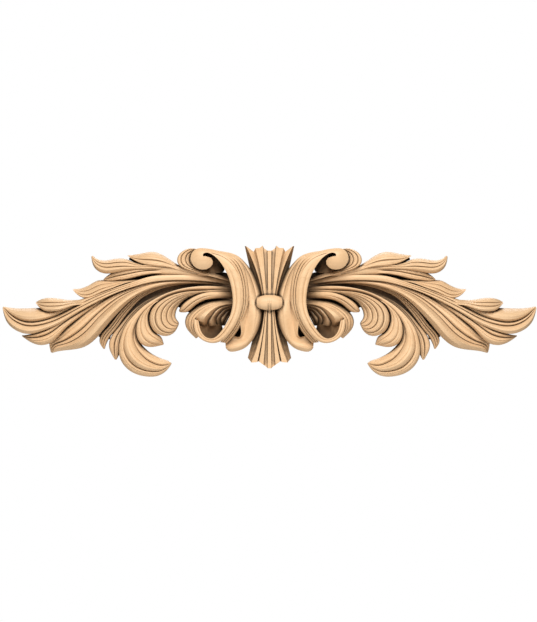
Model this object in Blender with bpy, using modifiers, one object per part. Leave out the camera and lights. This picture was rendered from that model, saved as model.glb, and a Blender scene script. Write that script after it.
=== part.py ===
"""Floral crest applique: one carving of acanthus leaves that spring from two pairs of scroll straps and a tied fan.

The carving is laid out as a carver's pattern is, on squared paper. A place is (across, down) in squares from the
sheet's corner, and a relief is in squares out from the flat back. WIDTH sets the size of a square, so every size
follows from it. The left half is drawn, and the right half mirrors it.

The row frame has +X to the right, +Z up and the carved face towards -Y. The origin is on the flat back, behind the
middle of the bead.
"""

import bmesh
import bpy
import numpy as np

# Driving dimensions, in metres.
WIDTH = 0.600  # across both leaf tips

# The pattern sheet, in squares.
SHEET_WIDTH = 533
SQUARE = WIDTH / SHEET_WIDTH
AXIS = 269.5  # the column of the centre line
LEVEL = 302.3  # the row of the middle of the bead
FOOT = 4.0  # how far each lobe is drawn past the flat back, before the back is planed
FOOT_STEP = 0.11  # each lobe's foot is a little deeper than the last, so that no two feet share a plane

# The fineness of the solid.
ROWS = 1  # rows of faces between two stations of a lobe
ROLL_COLUMNS = 2  # columns of faces across one roll of a lobe
ROLL_POWER = 0.6  # how round a roll is: 0.5 is a half ellipse, 1 is a parabola
DEEPENING = 1.4  # how many times as deep as in the table the domes and rolls are cut
BEAD_SIDES = 16
FLAT_ANGLE = 3.0  # degrees; faces nearer than this to one plane become one face

# Each lobe has two edges, from root to tip, with the same number of stations. lift is the relief along the middle, and
# tilt is how much further out the second edge is than the first. crown is the height of the whole section's dome and
# relief that of its rolls, as shares of the width. creases part the rolls, at shares of the width. wave is the height
# of one whole wave across the section, as a share of the width: the first half stands higher, or the second half if it
# is below zero. A list holds values at even steps from root to tip. start is the share of the length where the rolls
# begin to rise.
LOBES = {
    "leaf_ground": dict(
        edges=(
            [(236, 275), (205, 268.5), (180, 265.8), (150, 270), (125, 276), (95, 296), (66, 305)],
            [(236, 304), (205, 303), (185, 300), (165, 302), (143, 312), (111, 334.5), (90, 326)],
        ),
        lift=[9, 10, 9, 7, 5, 3], tilt=[0, 0, 0], crown=0.0, relief=0.0, creases=[], start=0.0,
    ),
    "tip_lobe": dict(
        edges=(
            [(236, 281), (212, 277), (192, 275.3), (172, 275.2), (152, 276.5), (132, 282.4), (112, 288.3),
             (92, 295.5), (72, 302.5), (54, 306.8), (38, 308), (24, 308.4), (13, 308), (4, 306.5)],
            [(236, 286), (212, 281.8), (192, 280.3), (172, 280.2), (153, 282), (134, 287), (115, 294),
             (96, 303), (78, 313), (60, 323.8), (42, 331.5), (25, 333.3), (8.5, 323), (3.2, 308)],
        ),
        lift=[6, 19, 25, 26, 24, 22, 19, 15, 12], tilt=[0, 0, 0, 1, 4, 8, 12, 10, 2],
        crown=0.18, relief=0.42, creases=[[0.42, 0.35, 0.34, 0.36, 0.56, 0.33], [0.62, 0.66, 0.7, 0.68, 0.74, 0.5]], start=0.3,
    ),
    "tip_under_lobe": dict(
        edges=(
            [(112, 295), (92, 303), (75, 312), (60, 321.5), (47, 329.3), (36, 332.8), (28, 334.6), (22.8, 335.3)],
            [(112, 298), (93, 308.5), (78, 319), (65, 330), (54, 341), (42, 345), (31, 341.8), (22.7, 336.2)],
        ),
        lift=[20, 20, 20, 20, 18, 13], tilt=[0, 0, 0, 0, 0],
        crown=0.15, relief=0.4, creases=[[0.45, 0.4, 0.3, 0.25]], start=0.1,
    ),
    "lower_lobe": dict(
        edges=(
            [(236, 285), (212, 281.2), (190, 279.3), (170, 279.2), (150, 282), (133, 287.3), (117, 293.2),
             (101, 302), (86, 312), (74, 321.5), (64, 329.8), (56, 337), (50, 342.5), (51.3, 352)],
            [(236, 288.5), (212, 285), (190, 283.6), (171, 284.3), (155, 287.8), (141, 293.7), (129, 302.5),
             (117, 314.5), (106, 327), (95, 339.5), (84, 347), (72, 349.6), (60, 351), (52.6, 352.8)],
        ),
        lift=[5, 16, 22, 24, 24, 22, 19, 16, 12], tilt=[0, -1, 0, 2, 4, 5, 4, 1],
        crown=0.15, relief=0.34, creases=[[0.37, 0.37, 0.36, 0.35, 0.41, 0.32], [0.6, 0.6, 0.55, 0.5, 0.58, 0.5]], start=0.35, wave=-0.14,
    ),
    "upper_bud": dict(
        edges=(
            [(97, 295), (82, 299.5), (70, 300), (60, 298.8), (50, 297.9), (42, 299.3), (37, 301.8)],
            [(97, 301), (84, 304.6), (74.3, 305.7), (63, 309.8), (52, 311.4), (43, 309.5), (36.8, 303.3)],
        ),
        lift=[20, 22, 26, 28, 25, 18], tilt=[6, 9, 9, 3],
        crown=0.2, relief=0.35, creases=[0.35, 0.63], start=0.0,
    ),
    "upper_lobe_2": dict(
        edges=(
            [(165, 276), (142, 279), (122, 280), (108, 280.2), (98, 280.6), (91, 284.3), (84, 287.6), (79, 288.8),
             (74, 289)],
            [(165, 279), (142, 280.8), (126, 283.2), (112, 288.6), (101, 293.1), (91, 297.6), (82.5, 297.4),
             (77, 293.8), (73.5, 290)],
        ),
        lift=[18, 20, 21, 21, 19, 17, 14], tilt=[2, 6, 9, 9, 3],
        crown=0.18, relief=0.3, creases=[0.4, 0.75], start=0.1,
    ),
    "upper_lobe_3": dict(
        edges=(
            [(175, 267), (152, 266.8), (135, 267.8), (124, 269.6), (115, 271.8), (108, 275.7), (104.2, 279)],
            [(175, 274), (152, 274.3), (138, 277), (127, 279.8), (117, 281.2), (109, 281.4), (104, 280.2)],
        ),
        lift=[22, 22, 21, 19, 16], tilt=[2, 3, 3, 1],
        crown=0.1, relief=0.4, creases=[0.5], start=0.1,
    ),
    "upper_lobe_4": dict(
        edges=(
            [(192, 270.5), (170, 265.5), (152, 262.5), (137.5, 263.2), (127, 259.4), (116, 258.9), (105, 260.5),
             (97, 258.8), (92.8, 255.8)],
            [(192, 274), (170, 270), (152, 269.2), (138, 269.3), (126, 270.8), (114, 273), (102, 272.8),
             (94, 266), (91.8, 257)],
        ),
        lift=[22, 23, 23, 22, 20, 18, 14], tilt=[2, 4, 6, 5, 1],
        crown=0.28, relief=0.38, creases=[[0.27, 0.28, 0.3, 0.25], [0.62, 0.66, 0.62, 0.45]], start=0.2,
    ),
    "upper_lobe_5": dict(
        edges=(
            [(198, 272), (182, 266.8), (172, 260.9), (163, 255.1), (153, 252), (142, 253.5), (133, 255),
             (127.8, 255.5)],
            [(198, 275), (182, 271), (172, 268), (163, 266.7), (153, 266), (143, 264.0), (135, 260.6),
             (128.3, 256.3)],
        ),
        lift=[22, 23, 23, 22, 20, 16], tilt=[5, 10, 10, 4],
        crown=0.16, relief=0.3, creases=[0.6], start=0.2,
    ),
    "crack_ground": dict(
        edges=([(141, 261.5), (129.6, 257.6)], [(141, 266), (129, 259.6)]),
        lift=[5, 5], tilt=[0, 0], crown=0.0, relief=0.0, creases=[], start=0.0,
    ),
    "upper_stem": dict(
        edges=(
            [(236, 280.5), (218, 276.8), (203, 272.8), (190, 269.8), (178, 266.8), (165, 266.2), (152, 268.3),
             (140, 270.5)],
            [(236, 283.5), (218, 279.3), (203, 276.4), (190, 275.6), (178, 275.3), (165, 275.2), (152, 274),
             (140, 272)],
        ),
        lift=[6, 14, 23, 25, 23, 18], tilt=[0, -2, -2, -1], crown=0.14, relief=0.0, creases=[], start=0.0,
    ),
    "narrow_lobe_1": dict(
        edges=(
            [(200, 281.5), (184, 282.7), (167, 284.4), (151, 288.5), (138, 295.3), (128, 303.5), (118, 314),
             (109, 325.7), (101, 335.3), (100.1, 343), (103.7, 348.8)],
            [(200, 282.9), (184, 284.7), (167, 287.5), (152.5, 292.6), (141, 299.4), (132, 308.8), (124, 319),
             (116, 330), (109.5, 338), (106.2, 344.5), (104.8, 349)],
        ),
        lift=[13, 17, 18, 17, 15, 13, 10, 8], tilt=[0, -2, -3, -2, 0],
        crown=0.15, relief=0.4, creases=[0.33, 0.62], start=0.0,
    ),
    "narrow_lobe_2": dict(
        edges=(
            [(205, 285.6), (186, 287.3), (168, 291.1), (152, 297.6), (140, 304.7), (129, 314.6), (119.5, 326),
             (111, 337.5), (109.8, 349), (115, 359.5)],
            [(205, 287), (186, 289.3), (168, 293), (153, 300), (141, 308.5), (132, 318.5), (125, 330),
             (120.8, 342), (119.6, 353), (116.5, 359.6)],
        ),
        lift=[6, 8, 9, 10, 11, 10, 8], tilt=[0, 2, 0, -1, 0],
        crown=0.1, relief=0.4, creases=[0.5], start=0.0,
    ),
    "curl_leaf": dict(
        edges=(
            [(236, 287.8), (215, 286.2), (198, 286.5), (182, 288.8), (168, 293), (154, 299.8), (142, 308),
             (132, 318), (124.5, 329), (120.5, 341), (119.5, 353), (124, 364.3), (134, 372.7), (148, 376.4),
             (160, 375), (168, 369), (171.6, 363.8)],
            [(236, 291), (215, 290.5), (198, 290.7), (183, 292.5), (171, 296), (160, 302), (151, 310),
             (144, 317.5), (138.8, 326), (137.5, 334), (139.5, 341), (144, 347), (149.5, 352), (156, 356),
             (162.5, 358.8), (168, 360.7), (171.3, 362.8)],
        ),
        lift=[6, 18, 25, 26, 25, 23, 21, 19, 16, 13], tilt=[-1, -2, -3, -4, -5, -5, -4, 0],
        crown=0.16, relief=0.32, creases=[0.27, [0.64, 0.64, 0.68, 0.8, 0.74, 0.52]], start=0.45,
    ),
    "curl_inner_lobe": dict(
        edges=(
            [(160, 299), (151, 305.5), (143.5, 313), (138.8, 321), (137, 330), (138.5, 339), (144.5, 345.5),
             (152, 346.9), (158.5, 345.9), (163.3, 344.8)],
            [(164, 299), (156.5, 303), (151, 309.5), (148.8, 317), (150, 325.5), (154, 331.8), (159.5, 335.3),
             (161.8, 338), (163, 341.2), (163.8, 344)],
        ),
        lift=[24, 28, 28, 26, 23, 18], tilt=[-2, -2, -2, 0],
        crown=0.12, relief=0.28, creases=[0.33, 0.74], start=0.15,
    ),
    "curl_shell": dict(
        edges=(
            [(236, 289), (216, 290), (200, 291), (186, 292), (172, 295.5), (161, 301), (153.5, 308),
             (150.3, 316), (150.8, 324), (154.5, 331), (161.5, 335.3), (169, 335.6), (175.5, 331),
             (178.6, 325)],
            [(236, 292), (220, 293.2), (206, 294), (196, 296), (187, 299.2), (180.5, 304.2), (177, 309),
             (175.6, 313.5), (175.6, 317), (176.4, 319), (177.3, 320.3), (178.2, 321.5), (178.8, 322.6),
             (179, 323.4)],
        ),
        lift=[6, 15, 25, 29, 29, 27, 24, 20], tilt=[0, -5, -8, -9, -6, -2],
        crown=0.1, relief=0.34, creases=[0.23, 0.47, 0.66, 0.81, 0.9], start=0.15, wave=0.1,
    ),
    "curl_spur": dict(
        edges=(
            [(236, 292), (218, 291.8), (206, 292.8), (196, 296), (188, 300.3), (182.5, 305), (180, 308.8),
             (179.3, 311)],
            [(236, 298.3), (220, 298.2), (209, 299.2), (201, 302), (195, 306.2), (190, 310.5), (185.5, 312.4),
             (180.3, 312.2)],
        ),
        lift=[8, 17, 25, 27, 24, 20], tilt=[-1, -3, -3, 0],
        crown=0.22, relief=0.3, creases=[0.55], start=0.35,
    ),
    "small_leaf": dict(
        edges=(
            [(236, 300.3), (222, 300), (211, 301.2), (201, 304.2), (193, 309), (187.3, 315), (185.3, 321.5),
             (186.8, 328), (191.5, 334), (196.2, 338.4)],
            [(236, 305), (224, 304.5), (214, 306), (206, 309.4), (200, 314), (196, 319), (194.5, 324.5),
             (194.8, 329.5), (196.5, 333.5), (198.8, 336.6)],
        ),
        lift=[10, 17, 24, 25, 24, 21], tilt=[3, 9, 14, 12, 4],
        crown=0.25, relief=0.36, creases=[0.3, 0.66], start=0.2,
    ),
    "curl_ground": dict(
        edges=(
            [(178, 293), (160, 299), (150, 305), (144, 314), (144, 324), (150, 333)],
            [(184, 300), (172, 304), (164, 309), (158, 317), (158, 325), (160.5, 334)],
        ),
        lift=[14, 12, 10], tilt=[0, 0], crown=0.0, relief=0.0, creases=[], start=0.0,
    ),
    "spur_ground": dict(
        edges=(
            [(235.2, 290), (214, 292), (198, 295), (186.3, 298.2), (176.9, 306.2)],
            [(235.2, 306), (214, 306), (202, 309.5), (194, 313), (188, 312)],
        ),
        lift=[10, 9, 8], tilt=[0, 0], crown=0.0, relief=0.0, creases=[], start=0.0,
    ),
    "small_leaf_shell": dict(
        edges=(
            [(236, 303.5), (224, 303.5), (214, 305), (206, 308.5), (199, 313), (195, 318.5), (198.5, 323.5)],
            [(233.5, 311), (231.8, 312.6), (230.9, 314), (230.1, 315.5), (229, 317.5), (227.5, 320.5), (225, 324.8)],
        ),
        lift=[8, 12, 15, 15, 14], tilt=[-14, -20, -24, -20, -14], crown=0.12, relief=0.4,
        creases=[[0.16, 0.27, 0.36, 0.4, 0.4], [0.4, 0.5, 0.58, 0.61, 0.61], [0.7, 0.72, 0.77, 0.78, 0.78], 0.9],
        start=0.0,
    ),
    "volute_shell": dict(
        edges=(
            [(206, 248.8), (198, 249.3), (190.5, 248.7), (184.5, 250.6), (180, 254.1), (177.8, 258.5),
             (178.2, 263.5), (183, 267.8), (192, 271), (204, 274.5), (217, 278), (231, 282)],
            [(206, 251.5), (201, 252), (197.5, 252.8), (195.5, 254.3), (194.3, 256.3), (193.8, 259.2),
             (194.3, 262.3), (196.8, 265.6), (201, 268), (208, 270.8), (218, 274.4), (230, 279)],
        ),
        lift=[27, 26, 25, 25, 24, 22, 17], tilt=[-4, -8, -8, -6, 0], crown=0.16, relief=0.34, creases=[0.24, 0.53, 0.77],
        start=0.0,
    ),
    "upper_web": dict(
        edges=(
            [(200, 252.5), (208, 252.8), (215.5, 256), (220, 260.5), (223.2, 264.6), (225, 268.2)],
            [(199, 265), (205, 271), (210.5, 272.8), (215.5, 273), (220, 272.8), (223.8, 271.6)],
        ),
        lift=[18, 18, 17, 14, 10], tilt=[10, 11, 11, 10], crown=-0.06, relief=0.0, creases=[], start=0.0,
    ),
    "lower_web": dict(
        edges=(
            [(223.3, 330.3), (220, 334), (216, 336.9), (210, 339), (204.3, 336.5), (200.6, 331), (198.5, 325),
             (197, 321)],
            [(221.8, 321), (219.5, 320), (216, 319.5), (212, 319.5), (208, 319.5), (205, 319), (202.8, 318),
             (201.5, 316.5)],
        ),
        lift=[11, 11, 12, 13, 14, 16], tilt=[9, 9, 9, 8, 6], crown=-0.06, relief=0.0, creases=[], start=0.0,
    ),
    "outer_strap": dict(
        edges=(
            [(205.2, 256.4), (204.6, 256.7), (204.3, 256.7), (203.9, 256.6), (203.6, 256.2), (203.4, 255.7),
             (203.4, 255), (203.9, 254), (207.5, 253), (214, 255.8), (219.5, 261), (224, 267.5),
             (228, 275.5), (231, 285), (232.7, 295), (232.8, 304.5), (230.8, 314), (226.5, 323.5),
             (220.5, 332.3), (213.5, 338), (206.5, 337.1), (201.3, 330.5), (199, 320.5)],
            [(211.5, 258.2), (213.4, 262.8), (209.3, 268.4), (202.5, 269.8), (196.2, 267.9), (192.2, 262.8),
             (191.2, 256.3), (194.8, 250.5), (205, 248.7), (216, 250.6), (226, 255.2), (234, 263),
             (239, 272.5), (241.8, 283.5), (242.8, 295), (242, 306.5), (239.3, 317), (234.3, 327),
             (226.5, 337), (216, 342.7), (205, 341), (196, 332.5), (194.2, 318.8)],
        ),
        lift=[39, 38, 38, 40, 40, 40, 40, 39, 37, 34], tilt=[-5, -5, -3, 0, 0, 0, 0, 0, 0], crown=0.08,
        relief=0.22, creases=[[0.26, 0.26, 0.32, 0.36, 0.36, 0.33, 0.3]], start=0.3,
    ),
    "strap_web": dict(
        edges=(
            [(236, 262), (238, 290), (237, 310), (233, 322), (227, 331), (224, 340)],
            [(247, 266), (250, 290), (250, 310), (248, 325), (244, 334), (233, 345)],
        ),
        lift=[24, 26, 26, 22, 12, 8], tilt=[0, 0], crown=0.0, relief=0.0, creases=[], start=0.0,
    ),
    "strap_flutes": dict(
        edges=(
            [(212, 250), (224, 253.5), (232.5, 259.5), (238, 268.5), (241.2, 279), (242.5, 290), (242.7, 301),
             (241.3, 311), (238, 320.5), (233, 328.5), (228, 335), (222.8, 340)],
            [(216, 250.5), (231, 254.6), (240, 261), (245, 270.5), (247.6, 281), (248.8, 292), (248.6, 302),
             (246.3, 312), (243, 321), (239, 329), (233.8, 336), (228.2, 341.8)],
        ),
        lift=[38, 38, 37, 36.5, 35, 32, 29], tilt=[-4, -5, -5, -5, -8, -8], crown=0.1, relief=0.4, creases=[0.33, 0.62],
        start=0.1,
    ),
    "inner_strap": dict(
        edges=(
            [(220, 251.3), (232, 253.6), (239.5, 257.2), (246, 263.5), (252, 271.5), (256.8, 281), (260.5, 291),
             (262.7, 301), (263, 311), (261.3, 321.5), (257.8, 331), (252.5, 340.3), (246, 347),
             (237.5, 350.8), (229.8, 351.3), (226, 347.8)],
            [(220, 255), (228, 260), (234, 266), (238, 273), (240.3, 282), (241.3, 292), (241.5, 302),
             (241, 311), (240.5, 319.5), (240.8, 326), (241.3, 332), (239.8, 336.6), (235.6, 336.3),
             (230, 334.5), (227.2, 338), (225.6, 343)],
        ),
        lift=[28, 27, 27, 28, 29, 29, 27, 25], tilt=[0, 8, 14, 16, 12, 6, 0, 0], crown=0.07, relief=[0.26, 0.26, 0.22, 0.1, 0.05, 0.03, 0.02],
        creases=[[0.24, 0.24, 0.25, 0.26, 0.26, 0.26], [0.6, 0.6, 0.62, 0.72, 0.84, 0.88]], start=0.05, wave=[0, 0, 0, 0.05, 0.11, 0.14, 0.14, 0.12],
    ),
}

# The two fans. A rib is (across at the waist, across at the end, end row, relief at the waist, relief at the end,
# flare), from the outer side to a little past the centre line. A bigger flare bends the rib outwards nearer its end.
FANS = {
    "upper_fan": dict(
        waist=308,
        ribs=[(261.5, 244.8, 246.2, 6, 14, 0.8), (263.1, 245.8, 246.3, 16, 22, 1.45), (263.8, 246.2, 246.5, 29, 32, 1.75),
              (264.6, 253.8, 252.0, 27, 28, 2.0), (265.0, 255.6, 248.4, 31, 34, 1.5), (266.2, 259.6, 248.4, 31, 33, 1.4),
              (266.9, 262.7, 246.0, 31, 34, 1.1), (267.3, 264.0, 248.6, 28.2, 29, 1.0),
              (267.9, 266.8, 250.6, 28, 29, 1.0), (268.4, 267.6, 251.0, 30.7, 33, 1.0),
              (272.0, 272.5, 251.0, 30.7, 33, 1.0)],
    ),
    "lower_fan": dict(
        waist=297,
        ribs=[(262.6, 247.8, 357.9, 6, 7, 1.05), (264.5, 250.4, 361.0, 18, 16, 1.7), (265.3, 251.5, 362.3, 34, 30, 2.05),
              (265.7, 257.2, 361.8, 33, 30, 1.8), (266.0, 258.2, 361.0, 32, 26, 1.75), (266.4, 259.3, 361.6, 35, 31, 1.7),
              (267.2, 263.4, 364.4, 35, 32, 1.5), (267.5, 264.4, 365.2, 32, 26, 1.3),
              (267.9, 266.8, 367.0, 32, 26, 1.1), (268.5, 267.7, 368.0, 35.4, 31, 1.0),
              (271.0, 271.2, 368.0, 35.4, 31, 1.0)],
    ),
}

# The bead that ties the fans, turned about its length. The profile's places are (along it, out from its axis).
BEAD_PLACE = (269.5, 302.6, 35.9)
BEAD_PROFILE = [(-14.2, 0), (-14.2, 5.2), (-12.9, 6.2), (-12.5, 5.9), (-10.8, 6.9), (-6.5, 7.5), (0, 7.6), (6.5, 7.5),
                (10.8, 6.9), (12.5, 5.9), (12.9, 6.2), (14.2, 5.2), (14.2, 0)]

WOOD = dict(color=(0.85, 0.52, 0.28, 1.0), roughness=0.55)


def place(across, down, relief):
    """A place of the pattern in metres: across and down the sheet, and out from the back."""
    across, down, relief = np.broadcast_arrays(across, down, relief)
    return np.stack([across - AXIS, -relief, LEVEL - down], axis=-1) * SQUARE


def spline(values, knots, at):
    """The natural cubic spline through values at knots, read at the places at."""
    values, knots = np.asarray(values, float), np.asarray(knots, float)
    count = len(knots)
    if count == 2:
        share = ((at - knots[0]) / (knots[1] - knots[0]))[:, None]
        return values[0] + share * (values[1] - values[0])
    gaps = np.diff(knots)
    slopes = np.diff(values, axis=0) / gaps[:, None]
    matrix = np.eye(count)
    right = np.zeros_like(values)
    inner = np.arange(1, count - 1)
    matrix[inner, inner - 1] = gaps[:-1]
    matrix[inner, inner] = 2 * (gaps[:-1] + gaps[1:])
    matrix[inner, inner + 1] = gaps[1:]
    right[1:-1] = 6 * np.diff(slopes, axis=0)
    bend = np.linalg.solve(matrix, right)
    span = np.clip(np.searchsorted(knots, at, side="right") - 1, 0, count - 2)
    gap, before, after = gaps[span][:, None], (at - knots[span])[:, None], (knots[span + 1] - at)[:, None]
    return (
        bend[span] * after**3 / (6 * gap)
        + bend[span + 1] * before**3 / (6 * gap)
        + (values[span] / gap - bend[span] * gap / 6) * after
        + (values[span + 1] / gap - bend[span + 1] * gap / 6) * before
    )


def along(values, at):
    """Values given at even steps from root to tip, or one value for the whole length, read at the shares at."""
    values = np.broadcast_to(values, max(2, np.size(values))).astype(float)
    return spline(values[:, None], np.linspace(0, 1, len(values)), at)[:, 0]


def lobe_surface(lobe):
    """The carved face of a lobe, as a grid of places in squares: a section carried from root to tip between two edges.

    Across, a point lies on the line between the edges. Its relief is the lift, plus the tilt, plus a dome over the
    whole section, plus one smaller dome for each roll between two creases, each in proportion to its width.
    """
    first, second = (np.asarray(edge, float) for edge in lobe["edges"])
    steps = (np.linalg.norm(np.diff(first, axis=0), axis=1) + np.linalg.norm(np.diff(second, axis=0), axis=1)) / 2
    knots = np.concatenate([[0], np.cumsum(steps)])
    rows = np.interp(np.linspace(0, len(knots) - 1, (len(knots) - 1) * ROWS + 1), np.arange(len(knots)), knots)
    first, second = spline(first, knots, rows), spline(second, knots, rows)
    share = rows / knots[-1]
    creases = [along(crease, share) for crease in lobe["creases"]]
    bounds = np.stack([np.zeros_like(share), *creases, np.ones_like(share)], axis=1)
    widths = np.diff(bounds, axis=1)
    inside = (1 - np.cos(np.pi * np.arange(ROLL_COLUMNS) / ROLL_COLUMNS)) / 2
    across = (bounds[:, :-1, None] + widths[..., None] * inside).reshape(len(share), -1)
    across = np.append(across, np.ones((len(share), 1)), axis=1)
    rolls = (widths[..., None] * (4 * inside * (1 - inside)) ** ROLL_POWER).reshape(len(share), -1)
    rolls = np.append(rolls, np.zeros((len(share), 1)), axis=1)
    dome = 4 * across * (1 - across)
    grown = np.clip((share - lobe["start"]) / 0.2, 0, 1) if lobe["start"] else np.ones_like(share)
    width = np.linalg.norm(second - first, axis=1)
    rolled = grown * along(lobe["relief"], share)
    waved = along(lobe.get("wave", 0), share)
    relief = (
        along(lobe["lift"], share)[:, None]
        + along(lobe["tilt"], share)[:, None] * (across - 0.5)
        + width[:, None] * DEEPENING * (lobe["crown"] * dome + rolled[:, None] * rolls)
        + width[:, None] * waved[:, None] * np.sin(2 * np.pi * across)
    )
    flat = first[:, None] + (second - first)[:, None] * across[..., None]
    return flat[..., 0], flat[..., 1], relief


def fan_surface(fan):
    """The face of half a fan, as a grid of places in squares: straight slopes between ribs that flare from the waist."""
    ribs = np.asarray(fan["ribs"], float)
    share = np.linspace(0, 1, 3 * ROWS + 1)[:, None]
    across = ribs[:, 0] + (ribs[:, 1] - ribs[:, 0]) * share ** ribs[:, 5]
    down = fan["waist"] + (ribs[:, 2] - fan["waist"]) * share
    relief = ribs[:, 3] + (ribs[:, 4] - ribs[:, 3]) * share
    return across, down, relief


def block(name, surface, foot):
    """A closed solid with that face, straight walls and a flat foot behind the back."""
    across, down, relief = surface
    rows, columns = across.shape
    face = np.arange(rows * columns).reshape(rows, columns)
    ring = np.concatenate([face[0, :-1], face[:-1, -1], face[-1, :0:-1], face[:0:-1, 0]])
    under = rows * columns + np.arange(len(ring))
    points = np.concatenate(
        [
            place(across, down, relief).reshape(-1, 3),
            place(across.ravel()[ring], down.ravel()[ring], np.full(len(ring), -foot)),
        ]
    )
    quads = np.stack([face[:-1, :-1], face[:-1, 1:], face[1:, 1:], face[1:, :-1]], axis=-1).reshape(-1, 4)
    walls = np.stack([np.roll(ring, -1), ring, under, np.roll(under, -1)], axis=-1)
    mesh = bpy.data.meshes.new(name)
    mesh.from_pydata(points.tolist(), [], [*quads.tolist(), *walls.tolist(), under.tolist()])
    return closed_object(name, mesh)


def turned(name, profile, sides, middle):
    """A solid turned from a profile of (along, out) places, about a level line through its middle."""
    work = bmesh.new()
    verts = [work.verts.new((length * SQUARE, 0, radius * SQUARE)) for length, radius in profile]
    edges = [work.edges.new(pair) for pair in zip(verts, verts[1:])]
    bmesh.ops.spin(
        work, geom=verts + edges, cent=(0, 0, 0), axis=(1, 0, 0), angle=2 * np.pi, steps=sides, use_merge=True
    )
    bmesh.ops.translate(work, verts=work.verts, vec=place(*middle))
    mesh = bpy.data.meshes.new(name)
    work.to_mesh(mesh)
    work.free()
    return closed_object(name, mesh)


def closed_object(name, mesh):
    """An object of that mesh, its doubles merged and its faces pointing out."""
    work = bmesh.new()
    work.from_mesh(mesh)
    bmesh.ops.remove_doubles(work, verts=work.verts, dist=1e-6)
    bmesh.ops.recalc_face_normals(work, faces=work.faces)
    work.to_mesh(mesh)
    work.free()
    return bpy.data.objects.new(name, mesh)


def planing_block():
    """The solid that the back is planed flat with: everything behind the back's plane."""
    mesh = bpy.data.meshes.new("planing_block")
    work = bmesh.new()
    bmesh.ops.create_cube(work, size=1.0)
    bmesh.ops.scale(work, verts=work.verts, vec=(2 * WIDTH, 0.1, WIDTH))
    bmesh.ops.translate(work, verts=work.verts, vec=(0, 0.05, 0))
    work.to_mesh(mesh)
    work.free()
    return bpy.data.objects.new("planing_block", mesh)


def new_collection(name):
    """A new collection in the scene."""
    collection = bpy.data.collections.new(name)
    bpy.context.scene.collection.children.link(collection)
    return collection


def as_tool(obj, collection):
    """Keeps an object as one that only a Boolean uses."""
    collection.objects.link(obj)
    obj.display_type = "WIRE"
    obj.hide_render = True
    return obj


def wood():
    """The carved wood."""
    material = bpy.data.materials.new("carved_wood")
    material.use_nodes = True
    shader = material.node_tree.nodes["Principled BSDF"]
    shader.inputs["Base Color"].default_value = WOOD["color"]
    shader.inputs["Roughness"].default_value = WOOD["roughness"]
    shader.inputs["Metallic"].default_value = 0.0
    return material


def build():
    """The left half's lobes in one solid, its back planed flat, cut at the centre line and mirrored."""
    solids = {name: lobe_surface(lobe) for name, lobe in LOBES.items()}
    solids.update({name: fan_surface(fan) for name, fan in FANS.items()})
    blocks = [block(name, surface, FOOT + FOOT_STEP * i) for i, (name, surface) in enumerate(solids.items())]
    blocks.append(turned("bead", BEAD_PROFILE, BEAD_SIDES, BEAD_PLACE))

    crest = blocks[0]
    crest.name = crest.data.name = "crest_applique"
    crest.data.materials.append(wood())
    new_collection("floral_crest_applique").objects.link(crest)
    lobes = new_collection("lobes")
    for obj in blocks[1:]:
        as_tool(obj, lobes)
    union = crest.modifiers.new("lobes", "BOOLEAN")
    union.operation = "UNION"
    union.operand_type = "COLLECTION"
    union.collection = lobes
    union.solver = "EXACT"
    planing = crest.modifiers.new("flat_back", "BOOLEAN")
    planing.operation = "DIFFERENCE"
    planing.object = as_tool(planing_block(), new_collection("cutters"))
    planing.solver = "EXACT"
    smoothing = crest.modifiers.new("no_needless_edges", "DECIMATE")
    smoothing.decimate_type = "DISSOLVE"
    smoothing.angle_limit = np.radians(FLAT_ANGLE)
    mirror = crest.modifiers.new("right_half", "MIRROR")
    mirror.use_axis[0] = True
    mirror.use_bisect_axis[0] = True
    mirror.use_bisect_flip_axis[0] = True
    mirror.use_mirror_merge = True
    mirror.merge_threshold = 0.00001


def main():
    for obj in list(bpy.data.objects):
        bpy.data.objects.remove(obj)
    build()


main()
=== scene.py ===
"""Gives the carved crest applique its smooth carving and its wood, and sets the stage for it.

The carving is worked out again here from the pattern that the solid was cut from, with many more faces, so
that each flute is a smooth roll and each crease is sharp. A place of the pattern is (across, down) in squares
from the sheet's corner, and a relief is in squares out from the flat back. The frame gives the size of a
square.
"""

import bmesh
import bpy
import numpy as np
from bpy.props import FloatProperty, FloatVectorProperty, IntProperty, PointerProperty, StringProperty
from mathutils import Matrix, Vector


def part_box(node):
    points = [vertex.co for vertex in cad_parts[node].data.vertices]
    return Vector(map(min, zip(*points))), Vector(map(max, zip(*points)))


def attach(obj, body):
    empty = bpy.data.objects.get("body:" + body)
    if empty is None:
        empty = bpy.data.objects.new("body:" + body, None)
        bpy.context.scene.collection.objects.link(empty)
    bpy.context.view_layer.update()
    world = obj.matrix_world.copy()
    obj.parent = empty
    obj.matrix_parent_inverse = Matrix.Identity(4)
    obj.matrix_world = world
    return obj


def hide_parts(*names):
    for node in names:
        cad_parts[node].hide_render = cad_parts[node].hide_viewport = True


bl_info = {
    "name": "Carved Crest Applique",
    "version": (1, 0, 0),
    "blender": (4, 5, 0),
    "location": "3D View > Sidebar > Crest",
    "description": "Makes a carved wooden crest applique and the stage it is shown on",
    "category": "Object",
}

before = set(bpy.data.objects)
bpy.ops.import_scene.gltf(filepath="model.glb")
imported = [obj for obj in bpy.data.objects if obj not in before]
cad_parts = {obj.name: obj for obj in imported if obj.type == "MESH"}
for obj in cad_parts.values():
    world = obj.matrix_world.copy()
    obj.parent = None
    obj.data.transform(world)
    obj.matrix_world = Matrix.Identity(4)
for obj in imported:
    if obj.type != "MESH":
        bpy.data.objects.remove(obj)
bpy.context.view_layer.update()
HALF_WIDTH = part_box("crest_applique")[1].x

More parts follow.
